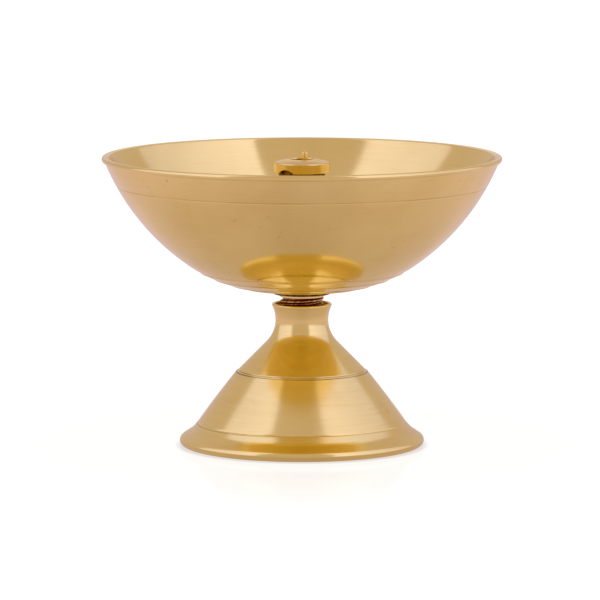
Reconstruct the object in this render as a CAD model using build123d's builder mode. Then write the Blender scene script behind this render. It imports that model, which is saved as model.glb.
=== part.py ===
from build123d import *
import os
from math import acos, asin, cos, degrees, radians, sin, sqrt, tan

# Footed brass oil lamp: a wide bowl screwed on a hollow trumpet-shaped stand.
# Millimetres, +Z up, origin at the centre of the foot's underside.

# ---- driving dimensions -------------------------------------------------------------

# bowl
RIM_R = 55.0            # outer radius over the lip bead
LIP_TUBE_R = 0.8        # section radius of the lip bead
RIM_TOP_Z = 80.06       # top of the lip
WALL_T = 1.5            # thickness of the bowl's wall
WALL_ARC_R = 64.3       # section radius of the steep upper wall, outside
FLOOR_ARC_R = 39.75     # section radius of the rounded floor, outside
WALL_TOP_ANGLE = 67.15  # slope of the outside just under the lip, degrees
KNEE_ANGLE = 34.87      # slope where the wall arc meets the floor arc
UNDER_ANGLE = 9.87      # slope where the floor arc meets the underside cone
WALL_TOP_R = 53.92      # outside radius just under the lip
WALL_TOP_Z = 78.0
PAD_R = 7.8             # low flat pad at the middle of the underside
PAD_DROP = 0.4          # how far the pad stands below the underside cone
FLOOR_TOP_Z = 45.2      # level of the flat oil floor inside
GROOVE_Z = 72.1         # thin groove round the outside of the bowl
GROOVE_W = 0.5
GROOVE_D = 0.15
STEP_RING_RADII = (27.9, 24.0, 19.3, 16.0)  # turned rings on the underside
STEP_RING_R = 0.45      # section radius of a turned ring
STEP_RING_PROUD = 0.15  # how far a turned ring stands out

# stand
FOOT_R = 33.7           # outer radius of the rounded foot lip
FOOT_TUBE_R = 1.4       # section radius of the foot lip
FOOT_LAND_R = 30.3      # inner radius of the flat land that rests on the table
FLARE_ANGLE = 34.0      # slope of the flare above the foot
FLARE_BEND_R = 30.4     # here the flare turns steeper
FLARE_TOP_ANGLE = 49.0
FLARE_TOP_R = 28.8      # where the flare meets the lower cone
LOWER_CONE_ANGLE = 53.9
LOWER_CONE_BULGE = 0.15  # the lower cone is very slightly convex
STEP_Z = 20.4           # small step between the lower and the upper cone
STEP_OUT = 0.2
UPPER_CONE_ANGLE = 45.4
WAIST_R = 7.3           # thinnest radius of the neck
WAIST_Z = 34.8
NECK_ARC_R = 8.7        # section radius of the concave neck
MOUTH_R = 8.25          # outer radius of the mouth bead
MOUTH_TUBE_R = 0.45
MOUTH_TOP_Z = 39.4
DISH_Z = 36.9           # where the dished mouth meets the threaded hole
STAND_WALL_T = 2.2
HOLLOW_TOP_Z = 25.2     # roof of the hollow inside the stand
STAND_GROOVE_R = 0.15   # section radius of the turned grooves
STAND_GROOVE_GAP = 0.62 # distance of the two grooves at the step

# thread of the stud, and its socket in the stand
THREAD_R = 6.0          # crest radius of the male thread
THREAD_PITCH = 1.5
THREAD_DEPTH = 0.8
THREAD_FLAT = 0.26      # width of the flat at the root of the thread
THREAD_FLANK_ANGLE = 30
THREAD_OVERCUT = 0.2    # how far the cut of the groove runs out past the crests
THREAD_GAP = 0.1        # radial clearance of the crests in the stand's socket
STUD_BOTTOM_Z = 27.95
STUD_TIP_R = 5.1        # the tip is chamfered from here outwards
HOLE_FLOOR_Z = 27.9
SEAM_TURN = 210         # keeps the turned blank's seam away from the start of the groove
SHOULDER_Z = 41.1       # top of the thread, where the spacer ring sits

# spigot of the stud, washers
SPIGOT_R = 4.0
SPIGOT_TOP_Z = 48.8
SPIGOT_HOLE_TOP_Z = 48.9
RING_R = 6.05
RING_CHAMFER = 0.12
FIT_GAP = 0.05          # radial clearance round the spigot
FACE_GAP = 0.02         # end clearance of the spacer ring
SEAL_R = 8.4
SEAL_T = 0.6

# wick pillar
FLANGE_R = 9.0
FLANGE_T = 1.8
FLANGE_FILLET = 1.0
PILLAR_R = 5.0
BORE_R = 3.4
BORE_FLOOR_Z = 50.8
COLLAR_R = 6.38
COLLAR_BOTTOM_Z = 74.6
PILLAR_TOP_Z = 77.7
PORT_R = 1.5
PORT_SILL = 0.3         # the ports start this far above the floor of the bore
PORT_COUNT = 4
PORT_TURN = 45          # ports stand at 45 degrees to the X axis

# wick cap
CAP_R = 7.6
CAP_BORE_R = 6.44
CAP_BOTTOM_Z = 75.6
CAP_EDGE_Z = 78.4       # top edge of the skirt
CAP_HOLE_R = 3.3
CAP_HOLE_Z = 79.2       # level of the hole's rim
CAP_EDGE_ROUND = 0.35
CAP_DOME_BULGE = 0.15   # how far the top stands above a straight cone
NOTCH_W = 5.2
NOTCH_H = 1.0
NOTCH_AZIMUTHS = (232.0, 52.0)

# wick pin
PIN_R = 0.85
PIN_OFFSET = 0.8
PIN_BOTTOM_Z = 49.3
PIN_TOP_Z = 81.3
PIN_TIP_ROUND = 0.5

os.makedirs("parts", exist_ok=True)


def on_arc(centre, radius, angle):
    """Point of a circle, at an angle in degrees from straight down towards +r."""
    return (centre[0] + radius * sin(radians(angle)), centre[1] - radius * cos(radians(angle)))


def inset(point, slope, distance):
    """Point moved inwards, square to an outside surface that falls away at slope degrees."""
    return (point[0] - distance * sin(radians(slope)), point[1] - distance * cos(radians(slope)))


# ---- bowl ---------------------------------------------------------------------------

lip_centre = (RIM_R - LIP_TUBE_R, RIM_TOP_Z - LIP_TUBE_R)
wall_centre = (
    WALL_TOP_R - WALL_ARC_R * sin(radians(WALL_TOP_ANGLE)),
    WALL_TOP_Z + WALL_ARC_R * cos(radians(WALL_TOP_ANGLE)),
)
knee = on_arc(wall_centre, WALL_ARC_R, KNEE_ANGLE)
floor_centre = (
    knee[0] - FLOOR_ARC_R * sin(radians(KNEE_ANGLE)),
    knee[1] + FLOOR_ARC_R * cos(radians(KNEE_ANGLE)),
)
under = on_arc(floor_centre, FLOOR_ARC_R, UNDER_ANGLE)
pad_top_z = under[1] - (under[0] - PAD_R) * tan(radians(UNDER_ANGLE))
pad_z = pad_top_z - PAD_DROP

inner_wall_r = WALL_ARC_R - WALL_T
inner_floor_r = FLOOR_ARC_R - WALL_T
lip_angle = degrees(acos((wall_centre[1] - RIM_TOP_Z) / inner_wall_r))
oil_angle = degrees(acos((floor_centre[1] - FLOOR_TOP_Z) / inner_floor_r))
lip_inside = on_arc(wall_centre, inner_wall_r, lip_angle)
oil_edge = on_arc(floor_centre, inner_floor_r, oil_angle)
spigot_hole_r = SPIGOT_R + FIT_GAP

groove_angle = degrees(acos((wall_centre[1] - GROOVE_Z) / WALL_ARC_R))
groove_out = GROOVE_W / 2 - GROOVE_D

with BuildPart() as bowl:
    with BuildSketch(Plane.XZ):
        with BuildLine():
            Polyline((spigot_hole_r, pad_z), (PAD_R, pad_z), (PAD_R, pad_top_z), under)
            ThreePointArc(under, on_arc(floor_centre, FLOOR_ARC_R, (UNDER_ANGLE + KNEE_ANGLE) / 2), knee)
            wall_top = on_arc(wall_centre, WALL_ARC_R, WALL_TOP_ANGLE)
            wall_middle = on_arc(wall_centre, WALL_ARC_R, (KNEE_ANGLE + WALL_TOP_ANGLE) / 2)
            ThreePointArc(knee, wall_middle, wall_top)
            Polyline(wall_top, lip_centre, (lip_centre[0], RIM_TOP_Z), lip_inside)
            inner_knee = on_arc(wall_centre, inner_wall_r, KNEE_ANGLE)
            ThreePointArc(
                lip_inside, on_arc(wall_centre, inner_wall_r, (KNEE_ANGLE + lip_angle) / 2), inner_knee
            )
            ThreePointArc(
                inner_knee, on_arc(floor_centre, inner_floor_r, (KNEE_ANGLE + oil_angle) / 2), oil_edge
            )
            Polyline(oil_edge, (spigot_hole_r, FLOOR_TOP_Z), (spigot_hole_r, pad_z))
        make_face()
        with Locations(lip_centre):
            Circle(LIP_TUBE_R)
        for ring_r in STEP_RING_RADII:
            ring_angle = degrees(asin((ring_r - floor_centre[0]) / FLOOR_ARC_R))
            with Locations(on_arc(floor_centre, FLOOR_ARC_R + STEP_RING_PROUD - STEP_RING_R, ring_angle)):
                Circle(STEP_RING_R)
        with Locations(on_arc(wall_centre, WALL_ARC_R + groove_out, groove_angle)):
            Circle(GROOVE_W / 2, mode=Mode.SUBTRACT)
    revolve(axis=Axis.Z)

bowl.part.label = "bowl"
export_step(bowl.part, "parts/bowl.step")

# ---- stand --------------------------------------------------------------------------

foot_centre = (FOOT_R - FOOT_TUBE_R, FOOT_TUBE_R)
flare_foot = on_arc(foot_centre, FOOT_TUBE_R, 180 - FLARE_ANGLE)
flare_bend = (FLARE_BEND_R, flare_foot[1] + (flare_foot[0] - FLARE_BEND_R) * tan(radians(FLARE_ANGLE)))
flare_top = (FLARE_TOP_R, flare_bend[1] + (FLARE_BEND_R - FLARE_TOP_R) * tan(radians(FLARE_TOP_ANGLE)))
neck_centre = (WAIST_R + NECK_ARC_R, WAIST_Z)
neck_foot = inset(neck_centre, UPPER_CONE_ANGLE, NECK_ARC_R)
upper_cone_foot = (
    neck_foot[0] + (neck_foot[1] - STEP_Z) / tan(radians(UPPER_CONE_ANGLE)),
    STEP_Z,
)
lower_cone_top = (upper_cone_foot[0] + STEP_OUT, STEP_Z)
upper_groove = (
    upper_cone_foot[0] - STAND_GROOVE_GAP * cos(radians(UPPER_CONE_ANGLE)),
    STEP_Z + STAND_GROOVE_GAP * sin(radians(UPPER_CONE_ANGLE)),
)
cone_middle = (
    (flare_top[0] + lower_cone_top[0]) / 2 + LOWER_CONE_BULGE * sin(radians(LOWER_CONE_ANGLE)),
    (flare_top[1] + lower_cone_top[1]) / 2 + LOWER_CONE_BULGE * cos(radians(LOWER_CONE_ANGLE)),
)
mouth_centre = (MOUTH_R - MOUTH_TUBE_R, MOUTH_TOP_Z - MOUTH_TUBE_R)
neck_top_z = mouth_centre[1] - MOUTH_TUBE_R
neck_top = (neck_centre[0] - sqrt(NECK_ARC_R**2 - (neck_top_z - WAIST_Z) ** 2), neck_top_z)

socket_r = THREAD_R + THREAD_GAP

inner_flare_foot = inset(flare_foot, FLARE_ANGLE, STAND_WALL_T)
land_rise = (inner_flare_foot[0] - FOOT_LAND_R) * tan(radians(FLARE_ANGLE))
land_top = (FOOT_LAND_R, inner_flare_foot[1] + land_rise)
inner_flare_top = inset(flare_top, (FLARE_TOP_ANGLE + LOWER_CONE_ANGLE) / 2, STAND_WALL_T)
inner_step = inset(upper_cone_foot, (LOWER_CONE_ANGLE + UPPER_CONE_ANGLE) / 2, STAND_WALL_T)
hollow_roof = (
    inner_step[0] - (HOLLOW_TOP_Z - inner_step[1]) / tan(radians(UPPER_CONE_ANGLE)),
    HOLLOW_TOP_Z,
)

with BuildPart() as stand:
    with BuildSketch(Plane.XZ):
        with BuildLine():
            Polyline((FOOT_LAND_R, 0), (foot_centre[0], 0))
            ThreePointArc((foot_centre[0], 0), (FOOT_R, FOOT_TUBE_R), flare_foot)
            Polyline(flare_foot, flare_bend, flare_top)
            ThreePointArc(flare_top, cone_middle, lower_cone_top)
            Polyline(lower_cone_top, upper_cone_foot, neck_foot)
            ThreePointArc(neck_foot, (WAIST_R, WAIST_Z), neck_top)
            Polyline(
                neck_top,
                mouth_centre,
                (mouth_centre[0] - MOUTH_TUBE_R, mouth_centre[1]),
                (socket_r, DISH_Z),
                (socket_r, HOLE_FLOOR_Z),
                (0, HOLE_FLOOR_Z),
                (0, HOLLOW_TOP_Z),
                hollow_roof,
                inner_step,
                inner_flare_top,
                land_top,
                (FOOT_LAND_R, 0),
            )
        make_face()
        with Locations(mouth_centre):
            Circle(MOUTH_TUBE_R)
        for groove_point in (upper_groove, lower_cone_top, flare_top):
            with Locations(groove_point):
                Circle(STAND_GROOVE_R, mode=Mode.SUBTRACT)
    revolve(axis=Axis.Z)

stand.part.label = "stand"
export_step(stand.part, "parts/stand.step")

# ---- threaded stud ------------------------------------------------------------------

thread_root_r = THREAD_R - THREAD_DEPTH
cut_start_z = STUD_BOTTOM_Z - THREAD_PITCH
cut_end_z = SHOULDER_Z + THREAD_PITCH
cut_r = THREAD_R + THREAD_OVERCUT
root_half = THREAD_FLAT / 2
mouth_half = root_half + (cut_r - thread_root_r) * tan(radians(THREAD_FLANK_ANGLE))

groove_path = Pos(0, 0, cut_start_z) * Helix(THREAD_PITCH, cut_end_z - cut_start_z, thread_root_r)
groove_outline = Polyline(
    (thread_root_r, cut_start_z - root_half),
    (cut_r, cut_start_z - mouth_half),
    (cut_r, cut_start_z + mouth_half),
    (thread_root_r, cut_start_z + root_half),
    close=True,
)
thread_groove = sweep(Plane.XZ * make_face(groove_outline), path=groove_path, is_frenet=True)

with BuildPart() as threaded_stud:
    with BuildSketch(Plane.XZ.rotated((0, 0, SEAM_TURN))):
        with BuildLine():
            Polyline(
                (0, STUD_BOTTOM_Z),
                (STUD_TIP_R, STUD_BOTTOM_Z),
                (THREAD_R, STUD_BOTTOM_Z + THREAD_R - STUD_TIP_R),
                (THREAD_R, SHOULDER_Z),
                (0, SHOULDER_Z),
                close=True,
            )
        make_face()
    revolve(axis=Axis.Z)
    add(thread_groove, mode=Mode.SUBTRACT)
    with BuildSketch(Plane.XY.offset(SHOULDER_Z)):
        Circle(SPIGOT_R)
    extrude(amount=SPIGOT_TOP_Z - SHOULDER_Z)

threaded_stud.part.label = "threaded_stud"
export_step(threaded_stud.part, "parts/threaded_stud.step")

# ---- spacer ring and seal washer ----------------------------------------------------

with BuildPart() as spacer_ring:
    with BuildSketch(Plane.XY.offset(SHOULDER_Z + FACE_GAP)):
        Circle(RING_R)
        Circle(spigot_hole_r, mode=Mode.SUBTRACT)
    extrude(amount=pad_z - SHOULDER_Z - 2 * FACE_GAP)
    chamfer(spacer_ring.edges().filter_by(GeomType.CIRCLE).group_by(SortBy.RADIUS)[-1], RING_CHAMFER)

spacer_ring.part.label = "spacer_ring"
export_step(spacer_ring.part, "parts/spacer_ring.step")

with BuildPart() as seal_washer:
    with BuildSketch(Plane.XY.offset(FLOOR_TOP_Z)):
        Circle(SEAL_R)
        Circle(spigot_hole_r, mode=Mode.SUBTRACT)
    extrude(amount=SEAL_T)

seal_washer.part.label = "seal_washer"
export_step(seal_washer.part, "parts/seal_washer.step")

# ---- wick pillar --------------------------------------------------------------------

pillar_foot_z = FLOOR_TOP_Z + SEAL_T
flange_top_z = pillar_foot_z + FLANGE_T
port_z = BORE_FLOOR_Z + PORT_R + PORT_SILL

with BuildPart() as wick_pillar:
    with BuildSketch(Plane.XZ):
        with BuildLine():
            Polyline(
                (spigot_hole_r, pillar_foot_z),
                (FLANGE_R, pillar_foot_z),
                (FLANGE_R, flange_top_z),
                (PILLAR_R + FLANGE_FILLET, flange_top_z),
            )
            ThreePointArc(
                (PILLAR_R + FLANGE_FILLET, flange_top_z),
                on_arc((PILLAR_R + FLANGE_FILLET, flange_top_z + FLANGE_FILLET), FLANGE_FILLET, -45),
                (PILLAR_R, flange_top_z + FLANGE_FILLET),
            )
            Polyline(
                (PILLAR_R, flange_top_z + FLANGE_FILLET),
                (PILLAR_R, COLLAR_BOTTOM_Z - (COLLAR_R - PILLAR_R)),
                (COLLAR_R, COLLAR_BOTTOM_Z),
                (COLLAR_R, PILLAR_TOP_Z),
                (BORE_R, PILLAR_TOP_Z),
                (BORE_R, BORE_FLOOR_Z),
                (0, BORE_FLOOR_Z),
                (0, SPIGOT_HOLE_TOP_Z),
                (spigot_hole_r, SPIGOT_HOLE_TOP_Z),
                (spigot_hole_r, pillar_foot_z),
            )
        make_face()
    revolve(axis=Axis.Z)
    with Locations((PIN_OFFSET, 0, BORE_FLOOR_Z)):
        Hole(PIN_R, depth=BORE_FLOOR_Z - PIN_BOTTOM_Z)
    for port_azimuth in range(0, 180, 360 // PORT_COUNT):
        with BuildSketch(Plane.XZ.rotated((0, 0, port_azimuth + PORT_TURN))):
            with Locations((0, port_z)):
                Circle(PORT_R)
        extrude(amount=2 * PILLAR_R, both=True, mode=Mode.SUBTRACT)

wick_pillar.part.label = "wick_pillar"
export_step(wick_pillar.part, "parts/wick_pillar.step")

# ---- wick cap -----------------------------------------------------------------------

cap_roof_z = PILLAR_TOP_Z + FACE_GAP
dome_edge = (CAP_R - CAP_EDGE_ROUND, CAP_EDGE_Z)
dome_middle = ((dome_edge[0] + CAP_HOLE_R) / 2, (dome_edge[1] + CAP_HOLE_Z) / 2 + CAP_DOME_BULGE)
notch_r = ((NOTCH_W / 2) ** 2 + NOTCH_H**2) / (2 * NOTCH_H)

with BuildPart() as wick_cap:
    with BuildSketch(Plane.XZ):
        with BuildLine():
            Polyline(
                (CAP_BORE_R, CAP_BOTTOM_Z),
                (CAP_R, CAP_BOTTOM_Z),
                (CAP_R, CAP_EDGE_Z - CAP_EDGE_ROUND),
            )
            ThreePointArc(
                (CAP_R, CAP_EDGE_Z - CAP_EDGE_ROUND),
                on_arc((dome_edge[0], CAP_EDGE_Z - CAP_EDGE_ROUND), CAP_EDGE_ROUND, 135),
                dome_edge,
            )
            ThreePointArc(dome_edge, dome_middle, (CAP_HOLE_R, CAP_HOLE_Z))
            Polyline(
                (CAP_HOLE_R, CAP_HOLE_Z),
                (CAP_HOLE_R, cap_roof_z),
                (CAP_BORE_R, cap_roof_z),
                (CAP_BORE_R, CAP_BOTTOM_Z),
            )
        make_face()
    revolve(axis=Axis.Z)
    for notch_azimuth in NOTCH_AZIMUTHS:
        with BuildSketch(Plane.YZ.rotated((0, 0, notch_azimuth))):
            with Locations((0, CAP_BOTTOM_Z + NOTCH_H - notch_r)):
                Circle(notch_r)
        extrude(amount=2 * CAP_R, mode=Mode.SUBTRACT)

wick_cap.part.label = "wick_cap"
export_step(wick_cap.part, "parts/wick_cap.step")

# ---- wick pin -----------------------------------------------------------------------

with BuildPart() as wick_pin:
    with BuildSketch(Plane.XY.offset(PIN_BOTTOM_Z)):
        with Locations((PIN_OFFSET, 0)):
            Circle(PIN_R)
    extrude(amount=PIN_TOP_Z - PIN_BOTTOM_Z)
    fillet(wick_pin.faces().sort_by(Axis.Z)[-1].edges(), PIN_TIP_ROUND)

wick_pin.part.label = "wick_pin"
export_step(wick_pin.part, "parts/wick_pin.step")
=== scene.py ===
import math

import bmesh
import bpy
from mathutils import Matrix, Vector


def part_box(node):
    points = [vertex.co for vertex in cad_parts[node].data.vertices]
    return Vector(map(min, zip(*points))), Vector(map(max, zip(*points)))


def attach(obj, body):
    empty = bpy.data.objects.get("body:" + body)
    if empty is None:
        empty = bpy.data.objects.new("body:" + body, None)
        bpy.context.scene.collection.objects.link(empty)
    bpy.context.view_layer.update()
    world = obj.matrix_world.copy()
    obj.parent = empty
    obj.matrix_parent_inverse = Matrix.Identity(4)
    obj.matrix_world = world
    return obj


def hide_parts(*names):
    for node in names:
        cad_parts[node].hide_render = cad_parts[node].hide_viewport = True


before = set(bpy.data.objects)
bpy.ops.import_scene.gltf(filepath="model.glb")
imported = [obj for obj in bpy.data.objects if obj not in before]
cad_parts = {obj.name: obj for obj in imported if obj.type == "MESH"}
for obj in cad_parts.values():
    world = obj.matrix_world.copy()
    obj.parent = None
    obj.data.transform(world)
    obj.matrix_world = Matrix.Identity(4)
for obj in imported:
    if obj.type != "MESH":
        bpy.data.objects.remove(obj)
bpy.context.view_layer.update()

# Footed brass oil lamp. Everything is in metres, in the frame of the CAD model.
MM = 0.001

# ---- sizes, from the frame and from the lamp's own section --------------------------

bowl_low, bowl_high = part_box("bowl")
stand_low, stand_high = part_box("stand")
stud_low, stud_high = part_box("threaded_stud")
ring_low, ring_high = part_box("spacer_ring")
cap_low, cap_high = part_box("wick_cap")
pin_low, pin_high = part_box("wick_pin")

SEGMENTS = 288                  # facets round a turned piece

# bowl section
RIM_R = bowl_high.x
RIM_TOP = bowl_high.z
LIP_TUBE = 0.8 * MM
LIP_FALL = 0.15 * MM            # how far the lip's top falls inwards
WALL_T = 1.5 * MM
WALL_ARC = 64.3 * MM
FLOOR_ARC = 39.75 * MM
WALL_TOP = (53.92 * MM, 78.0 * MM)
WALL_TOP_ANGLE = 67.15
KNEE_ANGLE = 34.87
UNDER_ANGLE = 9.87
PAD_R = 7.8 * MM
PAD_DROP = 0.4 * MM
OIL_FLOOR = 45.2 * MM
SPIGOT_HOLE = 4.05 * MM
BOWL_GROOVE_Z = 72.1 * MM
BOWL_GROOVE = (-0.13 * MM, 0.17 * MM)       # height and half width of the groove's section
STEP_RINGS = (27.9 * MM, 24.0 * MM, 19.3 * MM, 16.0 * MM)
STEP_RING = (0.15 * MM, 0.32 * MM)          # height and half width of a turned ring
RING_HOLLOW = (-0.07 * MM, 0.45 * MM)       # the same for the hollow beside it
RING_HOLLOW_GAP = 0.8 * MM

# stand section
FOOT_R = stand_high.x
FOOT_TUBE = 1.4 * MM
FOOT_LAND = 30.3 * MM
FLARE_ANGLE = 34.0
FLARE_BEND_R = 30.4 * MM
FLARE_TOP_ANGLE = 49.0
FLARE_TOP_R = 28.8 * MM
CONE_ANGLE = 53.9
CONE_BULGE = 0.15 * MM
STEP_Z = 20.4 * MM
STEP_OUT = 0.2 * MM
STEP_GROOVE_GAP = 0.62 * MM      # from the step up to the second groove
STEP_GROOVE = (0.16 * MM, 0.13 * MM)        # depth and half width of its section
FOOT_GROOVE_GAP = 0.3 * MM       # from the top of the flare up to the lowest groove
FOOT_GROOVE = (0.10 * MM, 0.14 * MM)
FOOT_GROOVE_Z = 6.05 * MM
UPPER_ANGLE = 45.4
WAIST_R = 7.3 * MM
WAIST_Z = 34.8 * MM
NECK_ARC = 8.7 * MM
MOUTH_R = 8.25 * MM
MOUTH_TUBE = 0.45 * MM
MOUTH_TOP = stand_high.z
DISH_Z = 36.9 * MM
SOCKET_R = 6.1 * MM
SOCKET_FLOOR = 27.9 * MM
STAND_T = 2.2 * MM
HOLLOW_TOP = 25.2 * MM

# thread
THREAD_R = stud_high.x
THREAD_FLANK = math.tan(math.radians(30))  # half width gained per depth, 30 degree flanks
THREAD_ROOT = THREAD_R - 0.8 * MM
THREAD_PITCH = 1.5 * MM
THREAD_FLAT = 0.13 * MM         # half the flat at the root of a groove
THREAD_ROOM = 0.10 * MM
THREAD_TIP_ROOM = 0.25 * MM
STUD_TIP = 0.9 * MM              # chamfer at the stud's lower end
SHOULDER = ring_low.z - 0.02 * MM
SPIGOT_R = 4.0 * MM


def on_arc(centre, radius, angle):
    """Point of a circle, at an angle in degrees from straight down towards +r."""
    a = math.radians(angle)
    return (centre[0] + radius * math.sin(a), centre[1] - radius * math.cos(a))


def arc(centre, radius, start, end, steps):
    """Points along a circle, both ends included."""
    return [on_arc(centre, radius, start + (end - start) * i / steps) for i in range(steps + 1)]


def between(a, b, share):
    """Point part of the way from a to b."""
    return (a[0] + (b[0] - a[0]) * share, a[1] + (b[1] - a[1]) * share)


def line(a, b, steps):
    """Points along a straight run, both ends included."""
    return [between(a, b, i / steps) for i in range(steps + 1)]


def inset(point, slope, distance):
    """Point moved inwards, square to an outside surface that falls away at slope degrees."""
    a = math.radians(slope)
    return (point[0] - distance * math.sin(a), point[1] - distance * math.cos(a))


def bend(a, corner, b, share):
    """From a to b past a rounded corner; share is how much of each leg the rounding takes."""
    start = between(corner, a, share)
    end = between(corner, b, share)
    steps = 12
    curve = []
    for i in range(steps + 1):
        t = i / steps
        curve.append(between(between(start, corner, t), between(corner, end, t), t))
    return line(a, start, 6) + curve + line(end, b, 6)


def join(*runs):
    """One outline from several runs, without doubled points."""
    outline = []
    for run in runs:
        for p in run:
            if not outline or math.dist(outline[-1], p) > 1e-6:
                outline.append(p)
    return outline


# ---- mesh helpers -------------------------------------------------------------------

def new_object(name, bm, sharp_angle=40.0):
    """Object from a bmesh, shaded smooth with its real edges kept sharp."""
    bmesh.ops.recalc_face_normals(bm, faces=bm.faces)
    mesh = bpy.data.meshes.new(name)
    bm.to_mesh(mesh)
    bm.free()
    mesh.polygons.foreach_set("use_smooth", [True] * len(mesh.polygons))
    mesh.set_sharp_from_angle(angle=math.radians(sharp_angle))
    obj = bpy.data.objects.new(name, mesh)
    bpy.context.scene.collection.objects.link(obj)
    return obj


def lathe(name, outline, segments=SEGMENTS, centre=(0.0, 0.0), shape=None, sharp_angle=40.0):
    """Turned piece: a closed outline of (r, z) swept round the axis. A point with r 0 is a pole.
    shape(r, z, angle) may move a point, for threads and notches."""
    bm = bmesh.new()
    rings = []
    for r, z in outline:
        if r < 1e-7:
            rings.append([bm.verts.new((centre[0], centre[1], z))])
            continue
        ring = []
        for k in range(segments):
            angle = 2 * math.pi * k / segments
            rr, zz = shape(r, z, angle) if shape else (r, z)
            x, y = centre[0] + rr * math.cos(angle), centre[1] + rr * math.sin(angle)
            ring.append(bm.verts.new((x, y, zz)))
        rings.append(ring)
    for i, low in enumerate(rings):
        high = rings[(i + 1) % len(rings)]
        if len(low) == 1 and len(high) == 1:
            continue
        for k in range(segments):
            n = (k + 1) % segments
            if len(low) == 1:
                bm.faces.new((low[0], high[k], high[n]))
            elif len(high) == 1:
                bm.faces.new((low[k], low[n], high[0]))
            else:
                bm.faces.new((low[k], low[n], high[n], high[k]))
    return new_object(name, bm, sharp_angle)


def finish_piece(obj, body, slot, material, *nodes):
    """Rides a piece on its body, gives it its material and hides the CAD nodes it stands in for."""
    obj.data.materials.clear()
    obj.data.materials.append(material)
    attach(obj, body)
    if nodes:
        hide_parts(*nodes)
    return obj


# ---- materials ----------------------------------------------------------------------

class Nodes:
    """Small helper that adds and links shader nodes."""

    def __init__(self, name):
        self.material = bpy.data.materials.new(name)
        self.material.use_nodes = True
        self.tree = self.material.node_tree
        self.tree.nodes.clear()
        self.output = self.add("ShaderNodeOutputMaterial")

    def add(self, kind, inputs=None, **settings):
        node = self.tree.nodes.new(kind)
        for key, value in settings.items():
            setattr(node, key, value)
        for key, value in (inputs or {}).items():
            if isinstance(value, bpy.types.NodeSocket):
                self.tree.links.new(value, node.inputs[key])
            else:
                node.inputs[key].default_value = value
        return node

    def math(self, operation, a, b=0.0, clamp=False):
        return self.add("ShaderNodeMath", {0: a, 1: b}, operation=operation, use_clamp=clamp).outputs[0]

    def mix(self, factor, a, b):
        node = self.add("ShaderNodeMix", data_type="RGBA")
        for socket, value in ((node.inputs[0], factor), (node.inputs[6], a), (node.inputs[7], b)):
            if isinstance(value, bpy.types.NodeSocket):
                self.tree.links.new(value, socket)
            else:
                socket.default_value = value
        return node.outputs[2]

    def noise(self, vector, scale, detail=2.0, roughness=0.5):
        sockets = {"Vector": vector, "Scale": scale, "Detail": detail, "Roughness": roughness}
        return self.add("ShaderNodeTexNoise", sockets).outputs[0]

    def ramp(self, factor, low, high, to_low=0.0, to_high=1.0):
        sockets = {"Value": factor, "From Min": low, "From Max": high, "To Min": to_low, "To Max": to_high}
        return self.add("ShaderNodeMapRange", sockets).outputs[0]


def turned_radius(n, xyz):
    """Distance from the lamp's axis."""
    squares = n.math("ADD", n.math("POWER", xyz.outputs[0], 2.0), n.math("POWER", xyz.outputs[1], 2.0))
    return n.math("SQRT", squares)


def grime_and_shade_mask(n, place, xyz, radius, grime_and_shade):
    """1 in a hollow to be darkened, which paints shade under the bowl and inside the wick cap: between two
    heights, and closer to the axis than a limit that runs straight from one (z, r) to another."""
    low, high, (z1, r1), (z2, r2) = grime_and_shade
    limit = n.ramp(xyz.outputs[2], z1, z2, r1, r2)
    edge = n.ramp(n.math("SUBTRACT", limit, radius), 0.0, 0.12 * MM)
    rise = n.ramp(xyz.outputs[2], low - 0.1 * MM, low + 0.1 * MM)
    fall = n.ramp(xyz.outputs[2], high - 0.25 * MM, high + 0.1 * MM, 1.0, 0.0)
    blot = n.ramp(n.noise(place, 900.0, 3.0, 0.6), 0.3, 0.7, 0.72, 1.0)
    return n.math("MULTIPLY", n.math("MULTIPLY", edge, blot), n.math("MULTIPLY", rise, fall))


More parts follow.
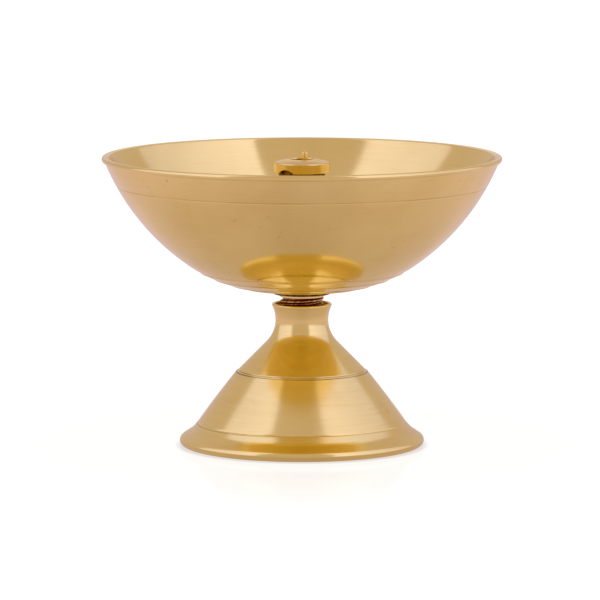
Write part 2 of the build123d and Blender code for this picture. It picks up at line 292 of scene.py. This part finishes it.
def brass(
    name, colour, dark, roughness, line_depth, tarnish=0.25, spots=0.0, anisotropy=0.4,
    turning=0.0, grime_and_shade=None, grime_and_shade_colour=(0.42, 0.27, 0.14, 1.0), marks=(),
):
    """Polished, turned brass: lathe lines round the axis, soft stains, small spots and scratches.
    turning is how strongly the lathe lines colour the metal. marks are painted shade along turned
    grooves on the outside, each (height, half width, least radius, strength, x where the painted
    shade starts to fade out towards +x)."""
    n = Nodes(name)
    place = n.add("ShaderNodeTexCoord").outputs["Object"]
    xyz = n.add("ShaderNodeSeparateXYZ", {0: place})
    radius = turned_radius(n, xyz)
    along = n.math("ADD", n.math("MULTIPLY", radius, 0.8), xyz.outputs[2])
    # lathe lines: noise that changes along the section and hardly round the axis
    swirl = n.add("ShaderNodeCombineXYZ", {0: along, 1: xyz.outputs[0], 2: xyz.outputs[1]})
    squeeze = {0: swirl.outputs[0], 1: (1.0, 0.015, 0.015)}
    squeezed = n.add("ShaderNodeVectorMath", squeeze, operation="MULTIPLY")
    fine = n.noise(squeezed.outputs[0], 3600.0, 3.0, 0.6)
    coarse = n.noise(squeezed.outputs[0], 1100.0, 2.0, 0.5)
    lines = n.math("ADD", n.math("MULTIPLY", fine, 0.5), n.math("MULTIPLY", coarse, 0.5))
    # stains and fine dark scratches
    cloud = n.noise(place, 55.0, 3.0, 0.55)
    stain = n.ramp(cloud, 0.44, 0.74, 0.0, tarnish)
    streak = n.ramp(fine, 0.60, 0.72, 0.0, 0.55 * tarnish)
    shade = n.mix(n.math("ADD", stain, streak, clamp=True), colour, dark)
    if turning:
        shade = n.mix(n.ramp(fine, 0.40, 0.65, 0.0, turning), shade, dark)
    if spots:
        speck = n.noise(place, 620.0, 2.0, 0.5)
        patch = n.noise(place, 75.0, 2.0, 0.5)
        mask = n.math("MULTIPLY", n.ramp(speck, 0.64, 0.80), n.ramp(patch, 0.50, 0.66))
        shade = n.mix(n.math("MULTIPLY", mask, spots), shade, SPOT_COLOUR)
    clouded = n.ramp(cloud, 0.35, 0.75, roughness, roughness + 0.06)
    rough = n.math("ADD", clouded, n.ramp(lines, 0.3, 0.7, 0.0, 0.04))
    # painted shade along turned grooves on the outside, fading out towards +x
    for height, half, least_r, strength, shade_fade_x in marks:
        away = n.math("ABSOLUTE", n.math("SUBTRACT", xyz.outputs[2], height))
        groove = n.ramp(away, 0.5 * half, half, strength, 0.0)
        groove = n.math("MULTIPLY", groove, n.ramp(radius, least_r - 0.1 * MM, least_r))
        patchy = n.ramp(n.noise(place, 60.0, 2.0, 0.5), 0.42, 0.58, 0.6, 1.0)
        groove_fade = n.math("MULTIPLY", patchy, n.ramp(xyz.outputs[0], shade_fade_x, shade_fade_x + 12 * MM, 1.0, 0.0))
        shade = n.mix(n.math("MULTIPLY", groove, groove_fade), shade, GROOVE_SHADE)
    # darkened hollow: painted shade under the bowl's pad and inside the wick cap, darker brown inside the
    # stand's mouth
    if grime_and_shade:
        hollow_dark = grime_and_shade_mask(n, place, xyz, radius, grime_and_shade)
        shade = n.mix(hollow_dark, shade, grime_and_shade_colour)
        rough = n.math("ADD", rough, n.math("MULTIPLY", hollow_dark, 0.30))
    bump = n.add("ShaderNodeBump", {"Strength": 1.0, "Distance": line_depth, "Height": lines})
    tangent = n.add("ShaderNodeTangent", direction_type="RADIAL", axis="Z")
    shader = n.add("ShaderNodeBsdfPrincipled", {
        "Base Color": shade, "Metallic": 1.0, "Roughness": rough, "Normal": bump.outputs[0],
        "Anisotropic": anisotropy, "Tangent": tangent.outputs[0],
    })
    n.tree.links.new(shader.outputs[0], n.output.inputs[0])
    return n.material


def worn_thread(name):
    """Thread that is never polished: brown tarnish with brighter, rubbed crests."""
    n = Nodes(name)
    place = n.add("ShaderNodeTexCoord").outputs["Object"]
    blot = n.noise(place, 1300.0, 4.0, 0.70)
    fine = n.noise(place, 3600.0, 3.0, 0.6)
    xyz = n.add("ShaderNodeSeparateXYZ", {0: place})
    crest = n.ramp(turned_radius(n, xyz), THREAD_R - 0.35 * MM, THREAD_R)
    rubbed = n.math("MULTIPLY", crest, n.ramp(blot, 0.46, 0.58))
    brown = n.mix(n.ramp(blot, 0.35, 0.65), (0.30, 0.18, 0.085, 1.0), (0.62, 0.42, 0.22, 1.0))
    shade = n.mix(rubbed, brown, (0.82, 0.60, 0.34, 1.0))
    rough = n.ramp(fine, 0.3, 0.7, 0.30, 0.55)
    height = n.math("ADD", blot, fine)
    bump = n.add("ShaderNodeBump", {"Strength": 1.0, "Distance": 0.05 * MM, "Height": height})
    shader = n.add("ShaderNodeBsdfPrincipled", {
        "Base Color": shade, "Metallic": 1.0, "Roughness": rough, "Normal": bump.outputs[0],
    })
    n.tree.links.new(shader.outputs[0], n.output.inputs[0])
    return n.material


def rubber(name):
    """Dull black rubber with a fine grain."""
    n = Nodes(name)
    place = n.add("ShaderNodeTexCoord").outputs["Object"]
    grain = n.noise(place, 3000.0, 3.0, 0.6)
    bump = n.add("ShaderNodeBump", {"Strength": 0.4, "Distance": 0.05 * MM, "Height": grain})
    shade = n.mix(n.ramp(grain, 0.3, 0.7), (0.015, 0.015, 0.015, 1.0), (0.04, 0.038, 0.035, 1.0))
    look = {"Base Color": shade, "Roughness": 0.75, "Normal": bump.outputs[0]}
    shader = n.add("ShaderNodeBsdfPrincipled", look)
    n.tree.links.new(shader.outputs[0], n.output.inputs[0])
    return n.material


BRASS_COLOUR = (0.90, 0.71, 0.29, 1.0)
BRASS_DARK = (0.70, 0.44, 0.13, 1.0)
SPOT_COLOUR = (0.36, 0.19, 0.08, 1.0)
# colour of the painted shade along turned grooves
GROOVE_SHADE = (0.09, 0.05, 0.02, 1.0)

bowl_brass = brass(
    "bowl_brass", BRASS_COLOUR, BRASS_DARK, roughness=0.09, line_depth=0.0022 * MM,
    tarnish=0.24, spots=0.40, anisotropy=0.2, turning=0.06,
    # painted shade: the pad under the bowl and its side darkened nearly to black, where it meets the
    # spacer ring
    grime_and_shade=(
        bowl_low.z - 1.0 * MM, bowl_low.z + PAD_DROP + 0.2 * MM,
        (0.0, PAD_R + 0.2 * MM), (1.0, PAD_R + 0.2 * MM),
    ),
    grime_and_shade_colour=(0.045, 0.025, 0.012, 1.0),
    # painted shade along the bowl's turned groove
    marks=((BOWL_GROOVE_Z, 0.15 * MM, 50.7 * MM, 0.27, 60 * MM),),
)
stand_brass = brass(
    "stand_brass", BRASS_COLOUR, BRASS_DARK, roughness=0.13, line_depth=0.005 * MM,
    tarnish=0.18, spots=0.25, anisotropy=0.35, turning=0.12,
    # darker, rougher brown inside the stand's mouth and socket
    grime_and_shade=(SOCKET_FLOOR - 1.0 * MM, MOUTH_TOP - 0.2 * MM, (37.0 * MM, 6.95 * MM), (39.0 * MM, 7.75 * MM)),
    # painted shade along the step, the groove above it and the foot groove, the last fading out to the
    # right
    marks=(
        (STEP_Z, 0.12 * MM, 17.0 * MM, 0.85, 40 * MM),
        (STEP_Z + 0.44 * MM, 0.11 * MM, 16.5 * MM, 0.80, 40 * MM),
        (FOOT_GROOVE_Z, 0.10 * MM, 28.0 * MM, 0.7, -14 * MM),
    ),
)
ring_brass = brass(
    "ring_brass", (0.92, 0.73, 0.36, 1.0), BRASS_DARK, roughness=0.16, line_depth=0.002 * MM, tarnish=0.1,
)
wick_brass = brass(
    "wick_brass", (0.87, 0.65, 0.26, 1.0), (0.60, 0.36, 0.11, 1.0), roughness=0.18,
    line_depth=0.004 * MM, tarnish=0.35, spots=0.4, anisotropy=0.3, turning=0.15,
    # painted shade: the inside of the cap's skirt and what stands in it, darkened up to 1.9 mm above its
    # lower edge
    grime_and_shade=(
        cap_low.z - 1.0 * MM, cap_low.z + 1.9 * MM,
        (0.0, cap_high.x - 1.0 * MM), (1.0, cap_high.x - 1.0 * MM),
    ),
    grime_and_shade_colour=(0.12, 0.065, 0.025, 1.0),
)
tarnished = worn_thread("tarnished_brass")
seal_rubber = rubber("seal_rubber")


# ---- bowl ---------------------------------------------------------------------------

lip_centre = (RIM_R - LIP_TUBE, RIM_TOP - LIP_TUBE)
wall_centre = (
    WALL_TOP[0] - WALL_ARC * math.sin(math.radians(WALL_TOP_ANGLE)),
    WALL_TOP[1] + WALL_ARC * math.cos(math.radians(WALL_TOP_ANGLE)),
)
knee = on_arc(wall_centre, WALL_ARC, KNEE_ANGLE)
floor_centre = (
    knee[0] - FLOOR_ARC * math.sin(math.radians(KNEE_ANGLE)),
    knee[1] + FLOOR_ARC * math.cos(math.radians(KNEE_ANGLE)),
)
inner_wall = WALL_ARC - WALL_T
inner_floor = FLOOR_ARC - WALL_T


def height_angle(centre, radius, z):
    """Angle of the point of a circle at height z."""
    return math.degrees(math.acos((centre[1] - z) / radius))


def radius_angle(centre, radius, r):
    """Angle of the point of a circle at distance r from the axis."""
    return math.degrees(math.asin((r - centre[0]) / radius))


def relief(angle, marks, radius):
    """Height of turned ridges over a circle of this radius; marks are (angle, proud, half width)."""
    height = 0.0
    for mark_angle, proud, half in marks:
        away = math.radians(angle - mark_angle) * radius / half
        height += proud * math.exp(-away * away)
    return height


def turned_arc(centre, radius, start, end, steps, marks):
    """Points along a circle with turned ridges and grooves on it."""
    points = []
    for i in range(steps + 1):
        angle = start + (end - start) * i / steps
        points.append(on_arc(centre, radius + relief(angle, marks, radius), angle))
    return points


def bowl_outline():
    ring_marks = []
    for r in STEP_RINGS:
        a = radius_angle(floor_centre, FLOOR_ARC, r)
        ring_marks.append((a, *STEP_RING))
        ring_marks.append((a + math.degrees(RING_HOLLOW_GAP / FLOOR_ARC), *RING_HOLLOW))
    groove = [(height_angle(wall_centre, WALL_ARC, BOWL_GROOVE_Z), *BOWL_GROOVE)]
    under = on_arc(floor_centre, FLOOR_ARC, UNDER_ANGLE)
    pad_z = bowl_low.z
    outside_top = height_angle(wall_centre, WALL_ARC, lip_centre[1] - 0.75 * LIP_TUBE)
    inside_top = height_angle(wall_centre, inner_wall, RIM_TOP - 0.35 * MM)
    inside_lip = on_arc(wall_centre, inner_wall, inside_top)
    oil_angle = height_angle(floor_centre, inner_floor, OIL_FLOOR)
    return join(
        line((SPIGOT_HOLE, pad_z), (PAD_R - 0.08 * MM, pad_z), 4),
        line((PAD_R, pad_z + 0.08 * MM), (PAD_R, pad_z + PAD_DROP), 2),
        line((PAD_R, pad_z + PAD_DROP), under, 12),
        turned_arc(floor_centre, FLOOR_ARC, UNDER_ANGLE, KNEE_ANGLE, 200, ring_marks),
        turned_arc(wall_centre, WALL_ARC, KNEE_ANGLE, outside_top, 220, groove),
        arc(lip_centre, LIP_TUBE, 20.0, 180.0, 18),
        line((lip_centre[0], RIM_TOP), (inside_lip[0] + 0.25 * MM, RIM_TOP - LIP_FALL), 3),
        [(inside_lip[0] + 0.07 * MM, RIM_TOP - LIP_FALL - 0.08 * MM)],
        arc(wall_centre, inner_wall, inside_top, KNEE_ANGLE, 90),
        arc(floor_centre, inner_floor, KNEE_ANGLE, oil_angle, 60),
        line(on_arc(floor_centre, inner_floor, oil_angle), (SPIGOT_HOLE, OIL_FLOOR), 12),
    )


bowl = lathe("bowl_shell", bowl_outline())
finish_piece(bowl, "bowl", "bowl_brass", bowl_brass, "bowl")


# ---- stand --------------------------------------------------------------------------

def dip(away, depth, half):
    """Depth of a rounded groove at this distance from its middle."""
    return depth * math.exp(-((away / half) ** 2))


def stand_outline():
    foot_centre = (FOOT_R - FOOT_TUBE, FOOT_TUBE)
    flare_foot = on_arc(foot_centre, FOOT_TUBE, 180 - FLARE_ANGLE)
    drop = math.tan(math.radians(FLARE_ANGLE))
    flare_bend = (FLARE_BEND_R, flare_foot[1] + (flare_foot[0] - FLARE_BEND_R) * drop)
    flare_rise = (FLARE_BEND_R - FLARE_TOP_R) * math.tan(math.radians(FLARE_TOP_ANGLE))
    flare_top = (FLARE_TOP_R, flare_bend[1] + flare_rise)
    neck_centre = (WAIST_R + NECK_ARC, WAIST_Z)
    neck_foot = inset(neck_centre, UPPER_ANGLE, NECK_ARC)
    upper_foot = (neck_foot[0] + (neck_foot[1] - STEP_Z) / math.tan(math.radians(UPPER_ANGLE)), STEP_Z)
    cone_top = (upper_foot[0] + STEP_OUT, STEP_Z)
    mouth_centre = (MOUTH_R - MOUTH_TUBE, MOUTH_TOP - MOUTH_TUBE)
    step_in = inset(upper_foot, (CONE_ANGLE + UPPER_ANGLE) / 2, STAND_T)
    flare_in = inset(flare_top, (FLARE_TOP_ANGLE + CONE_ANGLE) / 2, STAND_T)
    flare_low = inset(flare_foot, FLARE_ANGLE, STAND_T)
    land_top = (FOOT_LAND, flare_low[1] + (flare_low[0] - FOOT_LAND) * drop)
    roof = (step_in[0] - (HOLLOW_TOP - step_in[1]) / math.tan(math.radians(UPPER_ANGLE)), HOLLOW_TOP)

    cone = []
    steps = 120
    for i in range(steps + 1):
        t = i / steps
        bulge = CONE_BULGE * 4 * t * (1 - t)
        p = between(flare_top, cone_top, t)
        away = math.dist(p, flare_top)
        cone.append(inset(p, CONE_ANGLE, dip(away - FOOT_GROOVE_GAP, *FOOT_GROOVE) - bulge))
    upper = []
    length = math.dist(upper_foot, neck_foot)
    for i in range(steps + 1):
        t = i / steps
        depth = dip(t * length - STEP_GROOVE_GAP, *STEP_GROOVE)
        upper.append(inset(between(upper_foot, neck_foot, t), UPPER_ANGLE, depth))
    neck_top_z = mouth_centre[1] - MOUTH_TUBE
    top_angle = -math.degrees(math.acos((neck_centre[1] - neck_top_z) / NECK_ARC))
    neck = arc(neck_centre, NECK_ARC, -UPPER_ANGLE, top_angle, 70)
    return join(
        line((FOOT_LAND, 0.0), (foot_centre[0], 0.0), 3),
        arc(foot_centre, FOOT_TUBE, 0.0, 180 - FLARE_ANGLE, 24),
        bend(flare_foot, flare_bend, flare_top, 0.3),
        cone,
        [(cone_top[0] - 0.12 * MM, STEP_Z + 0.02 * MM), (upper_foot[0] - 0.10 * MM, STEP_Z)],
        upper[3:],
        neck,
        arc(mouth_centre, MOUTH_TUBE, 70.0, 290.0, 16),
        line((mouth_centre[0] - MOUTH_TUBE, mouth_centre[1] - 0.1 * MM), (SOCKET_R, DISH_Z), 6),
        line((SOCKET_R, DISH_Z), (SOCKET_R, SOCKET_FLOOR), 110),
        [(0.0, SOCKET_FLOOR), (0.0, HOLLOW_TOP)],
        line(roof, step_in, 6),
        line(step_in, flare_in, 12),
        line(flare_in, land_top, 4),
    )


def groove_distance(z, angle):
    """How far, along Z, a point lies from the middle of the stud's nearest groove."""
    turns = (z - stud_low.z) / THREAD_PITCH - angle / (2 * math.pi)
    return abs(turns - round(turns)) * THREAD_PITCH


def female_thread(r, z, angle):
    """The socket's ridges stand in the stud's grooves, with room to turn."""
    if abs(r - SOCKET_R) > 1e-6 or z > DISH_Z - 0.4 * MM or z < SOCKET_FLOOR + 1.4 * MM:
        return r, z
    away = max(0.0, groove_distance(z, angle) + THREAD_ROOM - THREAD_FLAT)
    return min(SOCKET_R, THREAD_ROOT + max(THREAD_TIP_ROOM, away / THREAD_FLANK)), z


def male_thread(r, z, angle):
    """The stud's groove, cut down to the root of the thread, through the chamfered tip as well."""
    away = max(0.0, groove_distance(z, angle) - THREAD_FLAT)
    return min(r, THREAD_ROOT + away / THREAD_FLANK), z


stand = lathe("stand_shell", stand_outline(), shape=female_thread)
finish_piece(stand, "stand", "stand_brass", stand_brass, "stand")

# ---- threaded stud and spacer ring --------------------------------------------------

def stud_outline():
    tip_r, tip_top = THREAD_R - STUD_TIP, stud_low.z + STUD_TIP
    return join(
        [(0.0, stud_low.z), (tip_r, stud_low.z)],
        line((tip_r, stud_low.z), (THREAD_R - 0.01 * MM, tip_top), 16),
        line((THREAD_R, tip_top), (THREAD_R, SHOULDER), 190),
        line((SPIGOT_R, SHOULDER), (SPIGOT_R, stud_high.z - 0.3 * MM), 8),
        [(SPIGOT_R - 0.3 * MM, stud_high.z), (0.0, stud_high.z)],
    )


stud = lathe("stud_threaded", stud_outline(), segments=144, shape=male_thread)
finish_piece(stud, "bowl", "tarnished_brass", tarnished, "threaded_stud")


RING_ROUND = 0.18 * MM           # rounding of the spacer ring's outer edges


def ring_outline():
    round_r = ring_high.x - RING_ROUND
    rounded_low = arc((round_r, ring_low.z + RING_ROUND), RING_ROUND, 0.0, 90.0, 5)
    rounded_high = arc((round_r, ring_high.z - RING_ROUND), RING_ROUND, 90.0, 180.0, 5)
    return join([(SPIGOT_HOLE, ring_low.z)], rounded_low, rounded_high, [(SPIGOT_HOLE, ring_high.z)])


ring = lathe("spacer_ring_turned", ring_outline(), segments=144)
finish_piece(ring, "spacer_ring", "ring_brass", ring_brass, "spacer_ring")

# ---- wick cap and pin ---------------------------------------------------------------

CAP_EDGE = 78.4 * MM
CAP_HOLE_R = 3.3 * MM
CAP_BORE_R = 6.44 * MM
CAP_ROOF = 77.72 * MM
CAP_DOME = 0.15 * MM
NOTCH_W = 5.2 * MM
NOTCH_H = 1.0 * MM
NOTCH_AZIMUTHS = (232.0, 52.0)
CAP_ROUND = 0.35 * MM            # rounding of the skirt's upper edge


def cap_outline():
    start = (cap_high.x - CAP_ROUND, CAP_EDGE)
    end = (CAP_HOLE_R + 0.2 * MM, cap_high.z - 0.03 * MM)
    steps = 12
    dome = []
    for i in range(steps + 1):
        t = i / steps
        r, z = between(start, end, t)
        dome.append((r, z + CAP_DOME * 4 * t * (1 - t)))
    return join(
        line((CAP_BORE_R, cap_low.z), (cap_high.x - 0.12 * MM, cap_low.z), 3),
        [(cap_high.x, cap_low.z + 0.12 * MM)],
        line((cap_high.x, cap_low.z + 0.12 * MM), (cap_high.x, CAP_EDGE - CAP_ROUND), 10),
        arc((cap_high.x - CAP_ROUND, CAP_EDGE - CAP_ROUND), CAP_ROUND, 90.0, 170.0, 6),
        dome,
        [(CAP_HOLE_R + 0.05 * MM, cap_high.z), (CAP_HOLE_R, cap_high.z - 0.15 * MM)],
        line((CAP_HOLE_R, cap_high.z - 0.15 * MM), (CAP_HOLE_R, CAP_ROOF), 4),
        line((CAP_HOLE_R, CAP_ROOF), (CAP_BORE_R, CAP_ROOF), 4),
        line((CAP_BORE_R, CAP_ROOF), (CAP_BORE_R, cap_low.z), 8),
    )


def notches(r, z, angle):
    """Raises the skirt's lower edge into two flat arches, squeezing the wall above them."""
    arch_r = ((NOTCH_W / 2) ** 2 + NOTCH_H**2) / (2 * NOTCH_H)
    edge_z = CAP_EDGE - CAP_ROUND
    if r < CAP_BORE_R - 1e-6 or z > edge_z:
        return r, z
    rise = 0.0
    for azimuth in NOTCH_AZIMUTHS:
        turn = (angle - math.radians(azimuth) + math.pi) % (2 * math.pi) - math.pi
        across = cap_high.x * math.sin(turn)
        if abs(turn) < math.pi / 2 and abs(across) < NOTCH_W / 2:
            rise = math.sqrt(arch_r**2 - across**2) - (arch_r - NOTCH_H)
    share = (edge_z - z) / (edge_z - cap_low.z)
    return r, z + max(0.0, rise) * share


cap = lathe("wick_cap_domed", cap_outline(), segments=240, shape=notches)
finish_piece(cap, "wick_cap", "wick_brass", wick_brass, "wick_cap")


def pin_outline():
    pin_r = (pin_high.x - pin_low.x) / 2
    tip = 0.5 * pin_r
    return join(
        [(0.0, pin_low.z)],
        line((pin_r, pin_low.z), (pin_r, pin_high.z - tip), 12),
        arc((pin_r - tip, pin_high.z - tip), tip, 90.0, 180.0, 6),
        [(0.0, pin_high.z)],
    )


pin_centre = ((pin_low.x + pin_high.x) / 2, (pin_low.y + pin_high.y) / 2)
pin = lathe("wick_pin_turned", pin_outline(), segments=48, centre=pin_centre)
finish_piece(pin, "bowl", "wick_brass", wick_brass, "wick_pin")

# ---- pieces kept from the CAD model -------------------------------------------------

for node_name, material in (("seal_washer", seal_rubber), ("wick_pillar", wick_brass)):
    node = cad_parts[node_name]
    node.data.materials.clear()
    node.data.materials.append(material)

# ---- floor, light and camera --------------------------------------------------------

TABLE_LIGHT = 1.12
MIRROR_SHARE = 0.21              # how much of the table is a mirror, close to the lamp
MIRROR_REACH = (0.07, 0.16)      # it fades out between these distances
FLOOR_RADIUS = 0.45
BOUNCE_RADIUS = 3.0


def floor_material():
    """White table: a faint mirror of the foot near the lamp, plain white further away, and a soft
    contact shadow round the foot."""
    n = Nodes("floor_white")
    place = n.add("ShaderNodeTexCoord").outputs["Object"]
    away = n.add("ShaderNodeVectorMath", {0: place}, operation="LENGTH").outputs["Value"]
    inner = n.ramp(away, FOOT_R - 3.5 * MM, FOOT_R - 0.4 * MM, 0.0, 1.0)
    outer = n.ramp(away, FOOT_R - 0.4 * MM, FOOT_R + 1.6 * MM, 1.0, 0.0)
    contact = n.math("MULTIPLY", inner, outer)
    shade = n.mix(n.math("MULTIPLY", contact, 0.45), (1.0, 1.0, 1.0, 1.0), (0.42, 0.36, 0.36, 1.0))
    white = n.add("ShaderNodeEmission", {"Color": shade, "Strength": TABLE_LIGHT})
    mirror = n.add("ShaderNodeBsdfGlossy", {"Color": (1.0, 1.0, 1.0, 1.0), "Roughness": 0.10})
    fade = n.ramp(away, *MIRROR_REACH, MIRROR_SHARE, 0.0)
    mixed = n.add("ShaderNodeMixShader", {0: fade, 1: white.outputs[0], 2: mirror.outputs[0]})
    n.tree.links.new(mixed.outputs[0], n.output.inputs[0])
    return n.material


def azimuth_from_front(n, place):
    """Angle round the lamp's axis from the front, the -Y side, the same to left and right."""
    xyz = n.add("ShaderNodeSeparateXYZ", {0: place})
    forwards = n.math("MULTIPLY", xyz.outputs[1], -1.0)
    return n.math("ABSOLUTE", n.math("ARCTAN2", xyz.outputs[0], forwards))


def bounce_material():
    """What the polished metal sees of the table: a warm grey, darker close to the foot and a little
    brighter at the sides."""
    n = Nodes("table_bounce")
    place = n.add("ShaderNodeTexCoord").outputs["Object"]
    away = n.add("ShaderNodeVectorMath", {0: place}, operation="LENGTH").outputs["Value"]
    near = n.ramp(away, 0.03, 0.16)
    shade = n.mix(near, (0.54, 0.43, 0.42, 1.0), BOUNCE_COLOUR)
    sideways = n.ramp(azimuth_from_front(n, place), math.radians(8), math.radians(45), 0.98, 1.07)
    shader = n.add("ShaderNodeEmission", {"Color": shade, "Strength": sideways})
    n.tree.links.new(shader.outputs[0], n.output.inputs[0])
    return n.material


def ground(name, radius, height, material):
    """Round stage piece under the lamp."""
    bm = bmesh.new()
    bmesh.ops.create_circle(bm, cap_ends=True, segments=96, radius=radius)
    disc = new_object(name, bm)
    disc.location.z = height
    disc.data.materials.append(material)
    return disc


BOUNCE_COLOUR = (0.69, 0.55, 0.61, 1.0)
PANEL_COLOUR = (0.93, 0.87, 1.17, 1.0)
floor = ground("floor", FLOOR_RADIUS, stand_low.z - 0.1 * MM, floor_material())
floor.visible_glossy = False
bounce = ground("table_bounce", BOUNCE_RADIUS, stand_low.z - 0.4 * MM, bounce_material())
bounce.visible_camera = False
bounce.visible_diffuse = False
bounce.visible_shadow = False


WALL_DISTANCE = 1.2
WALL_FACES_ACROSS = 24
WALL_FACES_UP = 14


def soft_wall(
    name, inner_azimuth, outer_azimuth, lean, low, high, inner_light, outer_light, colour=PANEL_COLOUR,
):
    """Curved soft box round the lamp. Azimuth 0 stands in front, on the -Y side, and elevations run
    from low to high. The inner edge leans by this many degrees on its way up, and the light changes
    from the inner edge to the outer one."""
    bm = bmesh.new()
    grid = []
    for j in range(WALL_FACES_UP + 1):
        up = j / WALL_FACES_UP
        elevation = math.radians(low + (high - low) * up)
        row = []
        start = inner_azimuth + lean * up
        flat = WALL_DISTANCE * math.cos(elevation)
        height = WALL_DISTANCE * math.sin(elevation)
        for i in range(WALL_FACES_ACROSS + 1):
            azimuth = math.radians(start + (outer_azimuth - start) * i / WALL_FACES_ACROSS)
            row.append(bm.verts.new((flat * math.sin(azimuth), -flat * math.cos(azimuth), height)))
        grid.append(row)
    for j in range(WALL_FACES_UP):
        for i in range(WALL_FACES_ACROSS):
            bm.faces.new((grid[j][i], grid[j][i + 1], grid[j + 1][i + 1], grid[j + 1][i]))
    n = Nodes(name)
    place = n.add("ShaderNodeTexCoord").outputs["Object"]
    inner_edge, outer_edge = math.radians(abs(inner_azimuth)), math.radians(abs(outer_azimuth))
    strength = n.ramp(azimuth_from_front(n, place), inner_edge, outer_edge, inner_light, outer_light)
    shader = n.add("ShaderNodeEmission", {"Color": colour, "Strength": strength})
    n.tree.links.new(shader.outputs[0], n.output.inputs[0])
    wall = new_object(name, bm)
    wall.data.materials.append(n.material)
    wall.visible_camera = False
    wall.visible_shadow = False
    return wall


soft_wall(
    "soft_left", inner_azimuth=-42.0, outer_azimuth=-111.0, lean=-8.0,
    low=3.0, high=74.0, inner_light=1.18, outer_light=0.98,
)
soft_wall(
    "soft_right", inner_azimuth=29.0, outer_azimuth=124.0, lean=9.0,
    low=3.0, high=74.0, inner_light=1.24, outer_light=0.86,
)
soft_wall(
    "soft_back", inner_azimuth=168.0, outer_azimuth=192.0, lean=0.0,
    low=10.0, high=32.0, inner_light=0.82, outer_light=0.82, colour=(0.95, 0.80, 0.72, 1.0),
)

WORLD_LIT = (0.63, 0.515, 0.50, 1.0)        # what the metal sees
WORLD_SEEN = (1.0, 1.0, 1.0, 1.0)           # what the camera sees
WORLD_SEEN_LIGHT = 1.1

world = bpy.data.worlds.new("studio")
bpy.context.scene.world = world
world.use_nodes = True
tree = world.node_tree
tree.nodes.clear()
lit = tree.nodes.new("ShaderNodeBackground")
seen = tree.nodes.new("ShaderNodeBackground")
path = tree.nodes.new("ShaderNodeLightPath")
choose = tree.nodes.new("ShaderNodeMixShader")
world_out = tree.nodes.new("ShaderNodeOutputWorld")
lit.inputs[0].default_value = WORLD_LIT
lit.inputs[1].default_value = 1.0
seen.inputs[0].default_value = WORLD_SEEN
seen.inputs[1].default_value = WORLD_SEEN_LIGHT
tree.links.new(path.outputs["Is Camera Ray"], choose.inputs[0])
tree.links.new(lit.outputs[0], choose.inputs[1])
tree.links.new(seen.outputs[0], choose.inputs[2])
tree.links.new(choose.outputs[0], world_out.inputs[0])

CAMERA_PLACE = (-0.52 * MM, -1428.8 * MM, 219.7 * MM)
CAMERA_DIP = 7.163               # degrees below the horizontal
CAMERA_LENS = 313.6              # for a sensor 36 mm wide

camera_data = bpy.data.cameras.new("camera")
camera = bpy.data.objects.new("camera", camera_data)
bpy.context.scene.collection.objects.link(camera)
camera_data.sensor_width = 36.0
camera_data.lens = CAMERA_LENS
camera_data.clip_start, camera_data.clip_end = 0.05, 20.0
camera.location = CAMERA_PLACE
camera.rotation_euler = (math.radians(90.0 - CAMERA_DIP), 0.0, 0.0)
bpy.context.scene.camera = camera

bpy.context.scene.view_settings.view_transform = "Standard"
bpy.context.scene.view_settings.look = "None"

# a studio camera's contrast: shadows of the metal turn deeper and richer, highlights stay
TONE_POINTS = (
    (0.02, 0.004), (0.05, 0.028), (0.10, 0.085), (0.16, 0.155), (0.3, 0.3), (0.6, 0.6), (0.8, 0.8),
)
COMBINED_CURVE = 3
bpy.context.scene.view_settings.use_curve_mapping = True
tone = bpy.context.scene.view_settings.curve_mapping
for x, y in TONE_POINTS:
    tone.curves[COMBINED_CURVE].points.new(x, y)
tone.update()
